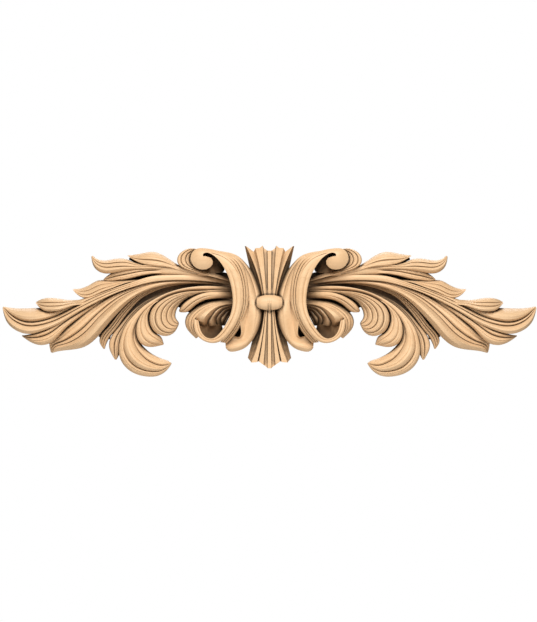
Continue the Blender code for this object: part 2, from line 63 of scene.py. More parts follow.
# The pattern sheet, in squares.
SHEET = (537, 622)
AXIS = 269.5  # the column of the centre line
LEVEL = 302.3  # the row of the middle of the bead
TIP = 3.2  # the column of the left leaf's tip
SQUARE = HALF_WIDTH / (AXIS - TIP)
MM = 0.001
LOWEST = -1000.0  # the relief where there is no wood, in squares
HORIZON_SLACK = 0.25  # how far a point's own surface may seem to rise beside it, in squares

FOOT = 4.0  # how far each lobe is drawn past the flat back, before the back is planed
FOOT_STEP = 0.11  # each lobe's foot is a little deeper than the last, so that no two feet share a plane
RISE = 0.2  # the share of a lobe's length over which its rolls rise
FEWEST_ROWS = 12  # rows of faces in the shortest lobe
FEWEST_COLUMNS = 4  # columns of faces across a roll
MANY_ROLLS = 5  # a lobe with this many rolls or more has fewer columns in each
FEWER = 0.72  # as a share of the columns that others have
FEWEST_FACES = 1000  # a carving with fewer hasn't been joined
WELD = 0.001 * MM  # points of one lobe that are nearer than this are merged
HALVES_WELD = 0.01 * MM  # the same for the two halves at the centre line
BACKWARD = 0.99  # a face whose normal has this much of +Y is part of the flat back

# How openness is looked at: rings of places round a point, azimuths, and elevations up to the steepest.
RINGS = 14
AZIMUTHS = 16
ELEVATIONS = 9
STEEPEST = np.radians(80)
TINY = 1e-9  # keeps a point that faces nothing from dividing by nothing

SENSOR = 36  # the camera's sensor, in millimetres
FLOOR = 1.6  # half the floor's width, in metres; it goes as far forward and a quarter as far back

# What lobes without rolls share, and those without a dome or a tilt as well.
SMOOTH = dict(relief=0.0, creases=[], start=0.0)
PLAIN = dict(tilt=0, crown=0.0, **SMOOTH)

# Each lobe has a first and a second edge, from root to tip, with the same number of stations. lift is the
# relief along the middle, and tilt is how much further out the second edge is than the first. crown is the
# height of the whole section's dome and relief that of its rolls, as shares of the width. creases part the
# rolls, at shares of the width. wave is the height of one whole wave across the section, as a share of the
# width: the first half stands higher, or the second half if it is below zero. A list holds values at even
# steps from root to tip. start is the share of the length where the rolls begin to rise.
LOBES = {
    "leaf_ground": dict(
        first=[(236, 275), (205, 268.5), (180, 265.8), (150, 270), (125, 276), (95, 296), (66, 305)],
        second=[(236, 304), (205, 303), (185, 300), (165, 302), (143, 312), (111, 334.5), (90, 326)],
        lift=[9, 10, 9, 7, 5, 3], **PLAIN,
    ),
    "tip_lobe": dict(
        first=[(236, 281), (212, 277), (192, 275.3), (172, 275.2), (152, 276.5), (132, 282.4), (112, 288.3),
               (92, 295.5), (72, 302.5), (54, 306.8), (38, 308), (24, 308.4), (13, 308), (4, 306.5)],
        second=[(236, 286), (212, 281.8), (192, 280.3), (172, 280.2), (153, 282), (134, 287), (115, 294),
                (96, 303), (78, 313), (60, 323.8), (42, 331.5), (25, 333.3), (8.5, 323), (3.2, 308)],
        lift=[6, 20, 26.5, 27.5, 25.5, 23.5, 20.5, 16.5, 12], tilt=[0, 0, 0, 1, 5, 10, 15, 13, 4],
        crown=0.12, relief=0.42,
        creases=[[0.42, 0.35, 0.34, 0.36, 0.56, 0.33], [0.62, 0.66, 0.7, 0.68, 0.74, 0.5]], start=0.3,
    ),
    "tip_under_lobe": dict(
        first=[(112, 295), (92, 303), (75, 312), (60, 321.5), (47, 329.3), (36, 332.8), (28, 334.6),
               (22.8, 335.3)],
        second=[(112, 298), (93, 308.5), (78, 319), (65, 330), (54, 341), (42, 345), (31, 341.8),
                (22.7, 336.2)],
        lift=[20, 21, 22.5, 22.5, 20.5, 14.5], tilt=[0, 0, 0, 0, 0], crown=0.15, relief=0.4,
        creases=[[0.45, 0.42, 0.38, 0.36]], start=0.1,
    ),
    "lower_lobe": dict(
        first=[(236, 285), (212, 281.2), (190, 279.3), (170, 279.2), (150, 282), (133, 287.3), (117, 293.2),
               (101, 302), (86, 312), (74, 321.5), (64, 329.8), (56, 337), (50, 342.5), (51.3, 352)],
        second=[(236, 288.5), (212, 285), (190, 283.6), (171, 284.3), (155, 287.8), (141, 293.7),
                (129, 302.5), (117, 314.5), (106, 327), (95, 339.5), (84, 347), (72, 349.6), (60, 351),
                (52.6, 352.8)],
        lift=[4, 13, 20.5, 24, 24, 22, 19, 16, 12], tilt=[0, -1, 0, 2, 4, 5, 4, 1], crown=0.15, relief=0.34,
        creases=[[0.37, 0.37, 0.36, 0.35, 0.41, 0.32], [0.6, 0.6, 0.55, 0.5, 0.58, 0.5]], start=0.35,
        wave=-0.14,
    ),
    "upper_bud": dict(
        first=[(97, 295), (82, 299.5), (70, 300), (60, 298.8), (50, 297.9), (42, 299.3), (37, 301.8)],
        second=[(97, 301), (84, 304.6), (74.3, 305.7), (63, 309.8), (52, 311.4), (43, 309.5),
                (36.8, 303.3)],
        lift=[20, 22, 26, 28, 25, 18], tilt=[7, 10, 11, 7], crown=0.2, relief=0.35, creases=[0.35, 0.63],
        start=0.0,
    ),
    "upper_lobe_2": dict(
        first=[(165, 276), (142, 279), (122, 280), (108, 280.2), (98, 280.6), (91, 284.3), (84, 287.6),
               (79, 288.8), (74, 289)],
        second=[(165, 279), (142, 280.8), (126, 283.2), (112, 288.6), (101, 293.1), (91, 297.6),
                (82.5, 297.4), (77, 293.8), (73.5, 290)],
        lift=[18, 20, 21, 21, 19, 17, 14], tilt=[2, 7, 12, 13, 6], crown=0.18, relief=0.3,
        creases=[0.4, 0.75], start=0.1,
    ),
    "upper_lobe_3": dict(
        first=[(175, 267), (152, 266.8), (135, 267.8), (124, 269.6), (115, 271.8), (108, 275.7),
               (104.2, 279)],
        second=[(175, 274), (152, 274.3), (138, 277), (127, 279.8), (117, 281.2), (109, 281.4),
                (104, 280.2)],
        lift=[22, 22, 21, 19, 16], tilt=[2, 3, 1, 0], crown=0.1, relief=0.4, creases=[0.5], start=0.1,
    ),
    "upper_lobe_4": dict(
        first=[(192, 270.5), (170, 265.5), (152, 262.5), (137.5, 263.2), (127, 259.4), (116, 258.9),
               (105, 260.5), (97, 258.8), (92.8, 255.8)],
        second=[(192, 274), (170, 270), (152, 269.2), (138, 269.3), (126, 270.8), (114, 273), (102, 272.8),
                (94, 266), (91.8, 257)],
        lift=[22, 23, 23, 22, 20, 18, 14], tilt=[2, 4, 6, 5, 1], crown=0.28, relief=0.38,
        creases=[[0.27, 0.28, 0.3, 0.25], [0.62, 0.66, 0.62, 0.45]], start=0.2,
    ),
    "upper_lobe_5": dict(
        first=[(198, 272), (182, 266.8), (172, 260.9), (163, 255.1), (153, 252), (142, 253.5), (133, 255),
               (127.8, 255.5)],
        second=[(198, 275), (182, 271), (172, 268), (163, 266.7), (153, 266), (143, 264.0), (135, 260.6),
                (128.3, 256.3)],
        lift=[22, 23, 23, 22, 20, 16], tilt=[5, 10, 10, 4], crown=0.16, relief=0.3, creases=[0.6],
        start=0.2,
    ),
    "gap_ground": dict(
        first=[(104, 321), (98.6, 336.9)],
        second=[(113, 327), (110, 339.4)],
        lift=[4, 4], **PLAIN,
    ),
    "crack_ground": dict(
        first=[(141, 261.5), (129.6, 257.6)],
        second=[(141, 266), (129, 259.6)],
        lift=[5, 5], **PLAIN,
    ),
    "upper_stem": dict(
        first=[(236, 280.5), (218, 276.8), (203, 272.8), (190, 269.8), (178, 266.8), (165, 266.2),
               (152, 268.3), (140, 270.5)],
        second=[(236, 283.5), (218, 279.3), (203, 276.4), (190, 275.6), (178, 275.3), (165, 275.2),
                (152, 274), (140, 272)],
        lift=[6, 14, 23, 25, 23, 18], tilt=[0, -2, -2, -1], crown=0.14, **SMOOTH,
    ),
    "narrow_lobe_1": dict(
        first=[(200, 281.5), (184, 282.7), (167, 284.4), (151, 288.5), (138, 295.3), (128, 303.5),
               (118, 314), (109, 325.7), (101, 335.3), (100.1, 343), (103.7, 348.8)],
        second=[(200, 282.9), (184, 284.7), (167, 287.5), (152.5, 292.6), (141, 299.4), (132, 308.8),
                (124, 319), (116, 330), (109.5, 338), (106.2, 344.5), (104.8, 349)],
        lift=[13, 17, 18, 17, 15, 13, 10, 8], tilt=[0, -2, -3, -2, 0], crown=0.15, relief=0.4,
        creases=[0.33, 0.62], start=0.0,
    ),
    "narrow_lobe_2": dict(
        first=[(205, 285.6), (186, 287.3), (168, 291.1), (152, 297.6), (140, 304.7), (129, 314.6),
               (119.5, 326), (111, 337.5), (109.8, 349), (115, 359.5)],
        second=[(205, 287), (186, 289.3), (168, 293), (153, 300), (141, 308.5), (132, 318.5), (125, 330),
                (120.8, 342), (119.6, 353), (116.5, 359.6)],
        lift=[6, 8, 9, 10, 11, 10, 8], tilt=[0, 2, 0, -1, 0], crown=0.1, relief=0.28, creases=[0.5],
        start=0.0,
    ),
    "curl_leaf": dict(
        first=[(236, 287.8), (215, 286.2), (198, 286.5), (182, 288.8), (168, 293), (154, 299.8), (142, 308),
               (132, 318), (124.5, 329), (120.5, 341), (119.5, 353), (124, 364.3), (134, 372.7),
               (148, 376.4), (160, 375), (168, 369), (171.6, 363.8)],
        second=[(236, 291), (215, 290.5), (198, 290.7), (183, 292.5), (171, 296), (160, 302), (151, 310),
                (144, 317.5), (138.8, 326), (137.5, 334), (139.5, 341), (144, 347), (149.5, 352),
                (156, 356), (162.5, 358.8), (168, 360.7), (171.3, 362.8)],
        lift=[6, 18, 25, 26, 25, 23, 21, 19, 16, 13], tilt=[-1, -2, -3, -4, -5, -5, -4, 0], crown=0.19,
        relief=[0.1, 0.1, 0.12, 0.13, 0.28, 0.34], creases=[0.27, [0.64, 0.64, 0.68, 0.8, 0.74, 0.52]],
        start=0.45,
    ),
    "curl_inner_lobe": dict(
        first=[(160, 299), (151, 305.5), (143.5, 313), (138.8, 321), (137, 330), (138.5, 339),
               (144.5, 345.5), (152, 346.9), (158.5, 345.9), (163.3, 344.8)],
        second=[(164, 299), (156.5, 303), (151, 309.5), (148.8, 317), (150, 325.5), (154, 331.8),
                (159.5, 335.3), (161.8, 338), (163, 341.2), (163.8, 344)],
        lift=[24, 28, 28, 26, 23, 18], tilt=[-2, -2, -2, 0], crown=0.15, relief=0.18, creases=[0.33, 0.74],
        start=0.15,
    ),
    "curl_shell": dict(
        first=[(236, 289), (216, 290), (200, 291), (186, 292), (172, 295.5), (161, 301), (153.5, 308),
               (150.3, 316), (150.8, 324), (154.5, 331), (161.5, 335.3), (169, 335.6), (175.5, 331),
               (178.6, 325)],
        second=[(236, 292), (220, 293.2), (206, 294), (196, 296), (187, 299.2), (180.5, 304.2), (177, 309),
                (175.6, 313.5), (175.6, 317), (176.4, 319), (177.3, 320.3), (178.2, 321.5), (178.8, 322.6),
                (179, 323.4)],
        lift=[6, 15, 24, 27, 26.5, 25, 22.5, 19], tilt=[0, -5, -9, -11, -8, -3], crown=0.22, relief=0.34,
        creases=[0.23, 0.46, 0.67, 0.87], start=0.15, wave=0.03,
    ),
    "curl_spur": dict(
        first=[(236, 292), (218, 291.8), (206, 292.8), (196, 296), (188, 300.3), (182.5, 305), (180, 308.8),
               (179.3, 311)],
        second=[(236, 298.3), (220, 298.2), (209, 299.2), (201, 302), (195, 306.2), (190, 310.5),
                (185.5, 312.4), (180.3, 312.2)],
        lift=[8, 17, 25, 27, 24, 20], tilt=[-1, -3, -3, 0], crown=0.22, relief=0.3, creases=[0.55],
        start=0.35,
    ),
    "small_leaf": dict(
        first=[(236, 300.3), (222, 300), (211, 301.2), (201, 304.2), (193, 309), (187.3, 315),
               (185.3, 321.5), (186.8, 328), (191.5, 334), (196.2, 338.4)],
        second=[(236, 305), (224, 304.5), (214, 306), (206, 309.4), (200, 314), (196, 319), (194.5, 324.5),
                (194.8, 329.5), (196.5, 333.5), (198.8, 336.6)],
        lift=[10, 17, 23, 22.5, 21, 19], tilt=[3, 9, 14, 12, 4], crown=0.25, relief=0.36,
        creases=[0.3, 0.66], start=0.2,
    ),
    "curl_ground": dict(
        first=[(178, 293), (160, 299), (150, 305), (144, 314), (144, 324), (150, 333)],
        second=[(184, 300), (172, 304), (164, 309), (158, 317), (158, 325), (160.5, 334)],
        lift=[14, 12, 10], **PLAIN,
    ),
    "spur_ground": dict(
        first=[(235.2, 290), (214, 292), (198, 295), (186.3, 298.2), (176.9, 306.2)],
        second=[(235.2, 306), (214, 306), (202, 309.5), (194, 313), (188, 312)],
        lift=[10, 9, 8], **PLAIN,
    ),
    "small_leaf_shell": dict(
        first=[(236, 303.5), (224, 303.5), (214, 305), (206, 308.5), (199, 313), (195, 318.5),
               (199.5, 326)],
        second=[(233.5, 311), (231.8, 312.6), (230.9, 314), (230.1, 315.5), (229, 317.5), (227.5, 320.5),
                (225, 325.6)],
        lift=[8, 12, 15, 15, 8.5], tilt=[-14, -20, -24, -20, -12], crown=0.12, relief=0.4,
        creases=[[0.16, 0.27, 0.38, 0.45, 0.33], [0.4, 0.5, 0.6, 0.64, 0.7], [0.7, 0.72, 0.77, 0.78, 0.85],
                 0.93],
        start=0.0, wave=[0, 0.04, 0.08, 0.09, 0.05],
    ),
    "volute_shell": dict(
        first=[(206, 248.8), (198, 249.3), (190.5, 248.7), (184.5, 250.6), (180, 254.1), (177.8, 258.5),
               (178.2, 263.5), (183, 267.8), (192, 271), (204, 274.5), (217, 278), (231, 282)],
        second=[(206, 251.5), (201, 252), (197.5, 252.8), (195.5, 254.3), (194.3, 256.3), (193.8, 259.2),
                (194.3, 262.3), (196.8, 265.6), (201, 268), (208, 270.8), (218, 274.4), (230, 279)],
        lift=[27, 26, 25, 25, 24, 22, 17], tilt=[-4, -8, -8, -6, 0], crown=0.16, relief=0.34,
        creases=[0.24, 0.53, 0.77], start=0.0,
    ),
    "upper_web": dict(
        first=[(200, 252.5), (208, 252.8), (215.5, 256), (220, 260.5), (223.2, 264.6), (225, 268.2)],
        second=[(199, 265), (205, 271), (210.5, 272.8), (215.5, 273), (220, 272.8), (223.8, 271.6)],
        lift=[18, 18, 17, 14, 10], tilt=[10, 11, 11, 10], crown=-0.06, **SMOOTH,
    ),
    "lower_web": dict(
        first=[(223.3, 330.3), (220, 334), (216, 336.9), (210, 339), (204.3, 336.5), (200.6, 331),
               (198.5, 325), (197, 321)],
        second=[(222, 325.6), (219.5, 324.8), (216, 324.6), (212, 324.6), (208, 324.4), (205, 322.5),
                (202.8, 319.5), (201.5, 316.5)],
        lift=[11, 11, 13, 18, 23, 27], tilt=[9, 9, 6, 0, -5], crown=-0.06, **SMOOTH,
    ),
    "outer_strap": dict(
        first=[(205.2, 256.4), (204.6, 256.7), (204.3, 256.7), (203.9, 256.6), (203.6, 256.2),
               (203.4, 255.7), (203.4, 255), (203.9, 254), (207.5, 253), (214, 255.8), (219.5, 261),
               (224, 267.5), (228, 275.5), (231, 285), (232.7, 295), (232.8, 304.5), (230.8, 314),
               (226.5, 323.5), (220.5, 332.3), (213.5, 338), (206.5, 337.1), (201.3, 330.5), (199, 320.5)],
        second=[(211.5, 258.2), (213.4, 262.8), (209.3, 268.4), (202.5, 269.8), (196.2, 267.9),
                (192.2, 262.8), (191.2, 256.3), (194.8, 250.5), (205, 248.7), (216, 250.6), (226, 255.2),
                (234, 263), (239, 272.5), (241.8, 283.5), (242.8, 295), (242, 306.5), (239.3, 317),
                (234.3, 327), (226.5, 337), (216, 342.7), (205, 341), (196, 332.5), (194.2, 318.8)],
        lift=[39, 38, 38, 40, 40, 40, 40, 39, 37, 34], tilt=[-5, -5, -3, 0, 0, 0, 0, 0, 0], crown=0.08,
        relief=[0.2, 0.2, 0.18, 0.14, 0.14, 0.2, 0.22, 0.22],
        creases=[[0.26, 0.26, 0.32, 0.36, 0.36, 0.33, 0.3]], start=0.3,
    ),
    "strap_web": dict(
        first=[(236, 262), (238, 290), (237, 310), (233, 322), (227, 331), (224, 340)],
        second=[(247, 266), (250, 290), (250, 310), (248, 325), (244, 334), (233, 345)],
        lift=[24, 26, 26, 22, 12, 8], **PLAIN,
    ),
    "strap_flutes": dict(
        first=[(212, 253), (223, 257), (230.5, 263), (236, 271), (239.4, 280.5), (241, 290), (241.3, 301),
               (240, 311), (236.5, 320.5), (231.5, 328.5), (226.5, 335), (220.5, 342)],
        second=[(216, 250.5), (231, 254.6), (240, 261), (245, 270.5), (247.6, 281), (248.8, 292),
                (248.6, 302), (246.3, 312), (243, 321), (239, 329), (233.8, 336), (227.6, 343)],
        lift=[38, 38, 37, 36.5, 35, 32, 29], tilt=[-4, -5, -5, -5, -8, -8], crown=0.1, relief=0.5,
        creases=[0.33, 0.62], start=0.1,
    ),
    "inner_strap": dict(
        first=[(220, 251.3), (232, 253.6), (239.5, 257.2), (246, 263.5), (252, 271.5), (256.8, 281),
               (260.5, 291), (262.7, 301), (263, 311), (261.3, 321.5), (257.8, 331), (252.5, 340.3),
               (246, 347), (237.5, 350.8), (229.8, 351.3), (226, 347.8)],
        second=[(220, 255), (228, 260), (234, 266), (238, 273), (240.3, 282), (241.3, 292), (241.5, 302),
                (241, 311), (240.5, 319.5), (240.8, 326), (241.3, 332), (239.8, 336.6), (235.6, 336.3),
                (230, 334.5), (227.2, 338), (225.6, 343)],
        lift=[28, 27, 27, 28, 29, 29, 27, 25], tilt=[0, 8, 14, 16, 12, 6, 0, 0], crown=0.07,
        relief=[0.26, 0.26, 0.22, 0.1, 0.05, 0.03, 0.02],
        creases=[[0.24, 0.24, 0.25, 0.26, 0.26, 0.26], [0.6, 0.6, 0.62, 0.72, 0.84, 0.88]], start=0.05,
        wave=[0, 0, 0, 0.05, 0.16, 0.2, 0.2, 0.16],
    ),
}

# The two fans. A rib is (across at the waist, across at the end, end row, relief at the waist, relief at the
# end, flare), from the outer side to a little past the centre line. A bigger flare bends the rib outwards
# nearer its end.
FANS = {
    "upper_fan": dict(
        waist=308,
        ribs=[(261.5, 244.8, 246.2, 19, 5, 0.8), (263.1, 245.8, 246.3, 23, 13, 1.45),
              (263.8, 246.2, 246.5, 30, 32, 1.75), (264.6, 253.8, 252.0, 29.2, 28, 2.0),
              (265.0, 255.6, 248.4, 31, 34, 1.5), (266.2, 259.6, 248.4, 31, 33, 1.4),
              (266.9, 262.7, 246.0, 31, 34, 1.1), (267.3, 264.0, 248.6, 29.8, 29, 1.0),
              (267.9, 266.8, 250.6, 29.6, 29, 1.0), (268.4, 267.6, 251.0, 30.7, 33, 1.0),
              (272.0, 272.5, 251.0, 30.7, 33, 1.0)],
    ),
    "lower_fan": dict(
        waist=297,
        ribs=[(262.6, 247.8, 357.9, 21, 1, 1.05), (264.5, 250.4, 361.0, 26, 8, 1.7),
              (265.3, 251.5, 362.3, 34, 30, 2.05), (265.7, 257.2, 361.8, 33.6, 30, 1.8),
              (266.0, 258.2, 361.0, 33.6, 26, 1.75), (266.4, 259.3, 361.6, 34.6, 31, 1.7),
              (267.2, 263.4, 364.4, 34.8, 32, 1.5), (267.5, 264.4, 365.2, 34.0, 26, 1.3),
              (267.9, 266.8, 367.0, 34.0, 26, 1.1), (268.5, 267.7, 368.0, 35.0, 31, 1.0),
              (271.0, 271.2, 368.0, 35.0, 31, 1.0)],
    ),
}

# The bead that ties the fans. Its collar is a longer, thinner barrel, and the ring is a ring of painted shade
# round it.
BEAD = dict(
    middle=(269.5, 302.6, 35.9), half_length=12.6, girth=7.6, ellipse_half_length=16.2, ellipse_end=0.99,
    shoulder=10, corner=0.25, collar_half_length=14.3, collar_thickness=0.93,
    seam_place=1.3, seam_width=0.55, seam_depth=1.1, seam_shade=0.75, nib=1.8, nib_power=8,
    ring_half_length=15.2, ring_girth=9.0, ring_width=1.7, ring_softness=0.7, ring_shade=0.9,
)

# Finer lines that the mesh alone has. Each is a share across the lobe, or a list of them from root to tip.
LINES = {
    "tip_under_lobe": [0.65],
    "lower_lobe": [[0.45, 0.45, 0.44, 0.42, 0.5, 0.45], 0.18],
    "upper_lobe_2": [0.2, 0.58],
    "upper_lobe_3": [0.25, 0.75],
    "upper_lobe_4": [[0.46, 0.47, 0.46, 0.35]],
    "upper_lobe_5": [0.36, 0.82],
    "narrow_lobe_1": [0.5, 0.82],
    "narrow_lobe_2": [0.25, 0.75],
    "curl_leaf": [0.14, [0.47, 0.47, 0.48, 0.54, 0.52, 0.42], 0.91],
    "curl_inner_lobe": [0.16, 0.56],
    "curl_shell": [0.11, 0.35, 0.57],
    "curl_spur": [0.3, 0.78],
    "small_leaf": [0.18, 0.52, 0.85],
    "volute_shell": [0.38, 0.66],
    "outer_strap": [0.86],
    "strap_flutes": [0.17, 0.48, 0.8],
}


def hex_color(text):
    """An sRGB hex colour as linear red, green, blue and alpha."""
    channels = np.array([int(text[i : i + 2], 16) / 255 for i in (1, 3, 5)])
    linear = np.where(channels <= 0.04045, channels / 12.92, ((channels + 0.055) / 1.055) ** 2.4)
    return (*linear.tolist(), 1.0)


def place(across, down, relief):
    """A place of the pattern in metres: across and down the sheet, and out from the back."""
    across, down, relief = np.broadcast_arrays(across, down, relief)
    return np.stack([across - AXIS, -relief, LEVEL - down], axis=-1) * SQUARE


def spline(values, knots, at):
    """The natural cubic spline through values at knots, read at the places at."""
    values, knots = np.asarray(values, float), np.asarray(knots, float)
    count = len(knots)
    if count == 2:
        share = ((at - knots[0]) / (knots[1] - knots[0]))[:, None]
        return values[0] + share * (values[1] - values[0])
    gaps = np.diff(knots)
    slopes = np.diff(values, axis=0) / gaps[:, None]
    matrix = np.eye(count)
    right = np.zeros_like(values)
    inner = np.arange(1, count - 1)
    matrix[inner, inner - 1] = gaps[:-1]
    matrix[inner, inner] = 2 * (gaps[:-1] + gaps[1:])
    matrix[inner, inner + 1] = gaps[1:]
    right[1:-1] = 6 * np.diff(slopes, axis=0)
    bend = np.linalg.solve(matrix, right)
    span = np.clip(np.searchsorted(knots, at, side="right") - 1, 0, count - 2)
    gap, before, after = gaps[span][:, None], (at - knots[span])[:, None], (knots[span + 1] - at)[:, None]
    return (
        bend[span] * after**3 / (6 * gap)
        + bend[span + 1] * before**3 / (6 * gap)
        + (values[span] / gap - bend[span] * gap / 6) * after
        + (values[span + 1] / gap - bend[span + 1] * gap / 6) * before
    )


def along(values, at):
    """Values at even steps from root to tip, or one value for the whole length, read at the shares at."""
    values = np.broadcast_to(values, max(2, np.size(values))).astype(float)
    return spline(values[:, None], np.linspace(0, 1, len(values)), at)[:, 0]


def lobe_surface(lobe, lines, cut):
    """The carved face of a lobe, as a grid of places in squares: a section carried from root to tip.

    Across, a point lies on the line between the edges. Its relief is the lift, plus the tilt, plus a dome
    over the whole section, plus one smaller dome for each roll between two creases, plus one smaller still
    between two of the creases and finer lines together, each in proportion to its width, plus the wave. The
    rolls rise from nothing by a smooth step after their start.
    """
    first, second = np.asarray(lobe["first"], float), np.asarray(lobe["second"], float)
    steps = np.linalg.norm(np.diff([first, second], axis=1), axis=2).sum(axis=0) / 2
    knots = np.concatenate([[0], np.cumsum(steps)])
    rows = np.linspace(0, knots[-1], max(FEWEST_ROWS, round(knots[-1] * SQUARE / cut.row_step)))
    first, second = spline(first, knots, rows), spline(second, knots, rows)
    share = rows / knots[-1]
    parts = [(along(line, share), False) for line in lines]
    parts += [(along(crease, share), True) for crease in lobe["creases"]]
    parts.sort(key=lambda part: part[0].mean())
    bounds = np.stack([np.zeros_like(share), *(where for where, _ in parts), np.ones_like(share)], axis=1)
    count = len(parts) + 1
    deep = np.array([True, *(is_crease for _, is_crease in parts), True])
    start = np.maximum.accumulate(np.where(deep[:-1], np.arange(count), 0))
    end = np.minimum.accumulate(np.where(deep[1:], np.arange(1, count + 1), count)[::-1])[::-1]
    columns = max(FEWEST_COLUMNS, round(cut.roll_columns * (FEWER if count >= MANY_ROLLS else 1.0)))
    inside = (1 - np.cos(np.pi * np.arange(columns) / columns)) / 2
    widths = np.diff(bounds, axis=1)[..., None]
    across = bounds[:, :-1, None] + widths * inside
    roll_widths = (bounds[:, end] - bounds[:, start])[..., None]
    in_roll = (across - bounds[:, start, None]) / roll_widths
    rolls = roll_widths * (4 * in_roll * (1 - in_roll)) ** cut.roll_power
    rolls += cut.line_share * widths * (4 * inside * (1 - inside)) ** cut.roll_power
    across = np.append(across.reshape(len(share), -1), np.ones((len(share), 1)), axis=1)
    rolls = np.append(rolls.reshape(len(share), -1), np.zeros((len(share), 1)), axis=1)
    dome = 4 * across * (1 - across)
    grown = np.clip((share - lobe["start"]) / RISE, 0, 1) if lobe["start"] else np.ones_like(share)
    rolled = grown * grown * (3 - 2 * grown) * along(lobe["relief"], share)
    width = np.linalg.norm(second - first, axis=1)
    waved = along(lobe.get("wave", 0), share)
    relief = (
        along(lobe["lift"], share)[:, None]
        + along(lobe["tilt"], share)[:, None] * (across - 0.5)
        + width[:, None] * cut.deepening * (lobe["crown"] * dome + rolled[:, None] * rolls)
        + width[:, None] * waved[:, None] * np.sin(2 * np.pi * across)
    )
    flat = first[:, None] + (second - first)[:, None] * across[..., None]
    return flat[..., 0], flat[..., 1], relief


def fan_surface(fan, cut):
    """The face of half a fan, as a grid of places in squares: pleats between ribs that flare from the waist.

    Between two ribs, the relief goes from one rib's height to the next one's by the mean of a straight line
    and a half wave.
    """
    ribs = np.asarray(fan["ribs"], float)
    share = np.linspace(0, 1, cut.fan_rows)[:, None]
    across = ribs[:, 0] + (ribs[:, 1] - ribs[:, 0]) * share ** ribs[:, 5]
    down = fan["waist"] + (ribs[:, 2] - fan["waist"]) * share
    relief = ribs[:, 3] + (ribs[:, 4] - ribs[:, 3]) * share
    at = np.linspace(0, len(ribs) - 1, (len(ribs) - 1) * cut.roll_columns + 1)
    rib = np.clip(at.astype(int), 0, len(ribs) - 2)
    part = at - rib
    wave = (part + (1 - np.cos(np.pi * part)) / 2) / 2

    def between(values, weight):
        return values[:, rib] + (values[:, rib + 1] - values[:, rib]) * weight

    return between(across, part), between(down, part), between(relief, wave)


def block(name, surface, foot):
    """A closed solid with that face, straight walls and a flat foot behind the back."""
    across, down, relief = surface
    rows, columns = across.shape
    face = np.arange(rows * columns).reshape(rows, columns)
    ring = np.concatenate([face[0, :-1], face[:-1, -1], face[-1, :0:-1], face[:0:-1, 0]])
    under = rows * columns + np.arange(len(ring))
    points = np.concatenate(
        [
            place(across, down, relief).reshape(-1, 3),
            place(across.ravel()[ring], down.ravel()[ring], np.full(len(ring), -foot)),
        ]
    )
    quads = np.stack([face[:-1, :-1], face[:-1, 1:], face[1:, 1:], face[1:, :-1]], axis=-1).reshape(-1, 4)
    walls = np.stack([np.roll(ring, -1), ring, under, np.roll(under, -1)], axis=-1)
    return closed_object(name, points, [*quads.tolist(), *walls.tolist(), under.tolist()])


def bead_radius(along_it):
    """The radius of the bead's barrel that far from its middle: an ellipse, much longer than the barrel."""
    share = np.minimum(np.abs(along_it) / BEAD["ellipse_half_length"], BEAD["ellipse_end"])
    return BEAD["girth"] * np.sqrt(1 - share**2)


def bead(name, half_length, thickness, cut):
    """A part of the bead that ties the fans: a profile turned about its length.

    Its radius is the barrel's times the thickness and a rounded shoulder, the root of one less the tenth
    power of the share of the half length, less two bell-shaped seams beside the middle. Between them a nib
    stands out below. It has half as many rows again along it as sides round it.
    """
    turn = np.linspace(0, 2 * np.pi, cut.bead_sides, endpoint=False)
    share = np.sin(np.linspace(-np.pi / 2, np.pi / 2, cut.bead_sides * 3 // 2 + 1))
    along_it = half_length * share
    seam = np.exp(-(((np.abs(along_it) - BEAD["seam_place"]) / BEAD["seam_width"]) ** 2))
    radius = thickness * bead_radius(along_it) * np.sqrt(1 - share ** BEAD["shoulder"])
    middle = np.exp(-((along_it / BEAD["seam_place"]) ** 2))[:, None]
    under = (1 + np.cos(turn)) / 2
    grooved = radius[:, None] - BEAD["seam_depth"] * seam[:, None] * under
    across = BEAD["middle"][0] + along_it[:, None]
    nib = BEAD["nib"] * middle * np.maximum(np.cos(turn), 0) ** BEAD["nib_power"]
    down = BEAD["middle"][1] + grooved * np.cos(turn) + nib
    relief = BEAD["middle"][2] + grooved * np.sin(turn)
    rows, columns = down.shape
    grid = np.arange(rows * columns).reshape(rows, columns)
    next_column = np.roll(grid, -1, axis=1)
    quads = np.stack([grid[:-1], next_column[:-1], next_column[1:], grid[1:]], axis=-1).reshape(-1, 4)
    return closed_object(name, place(across, down, relief).reshape(-1, 3), quads.tolist())


def round_bead(points):
    """The painted shade round the bead, as a factor from 0 to 1 on each point's openness.

    It is near 0 in a ring from the barrel's outline to an ellipse round the collar, or to the ring's width if
    that is further, and low along the lower half of the two seams. It paints a dark ring of shade round the
    bead and dark lines of shade along its seams.
    """
    across = np.abs(points[:, 0] / SQUARE + AXIS - BEAD["middle"][0])
    below = LEVEL - points[:, 2] / SQUARE - BEAD["middle"][1]
    nib = np.where(below > 0, BEAD["nib"] * np.exp(-((across / BEAD["seam_place"]) ** 2)), 0)
    down = np.abs(below) - nib
    corner = BEAD["girth"] * BEAD["corner"]
    past_end = np.maximum(across - BEAD["half_length"] + corner, 0)
    past_side = np.maximum(down - bead_radius(across) + corner, 0)
    beyond = np.hypot(past_end, past_side) - corner
    within = (1 - np.hypot(across / BEAD["ring_half_length"], down / BEAD["ring_girth"])) * BEAD["ring_girth"]
    within = np.maximum(within, BEAD["ring_width"] - beyond)
    soft = BEAD["ring_softness"]
    outside = np.clip(beyond / soft + 0.5, 0, 1)
    ring = outside * np.clip(within / soft + 0.5, 0, 1)
    seam = np.exp(-(((across - BEAD["seam_place"]) / BEAD["seam_width"]) ** 2)) * np.clip(below / soft, 0, 1)
    return (1 - BEAD["ring_shade"] * ring) * (1 - BEAD["seam_shade"] * seam * (1 - outside))


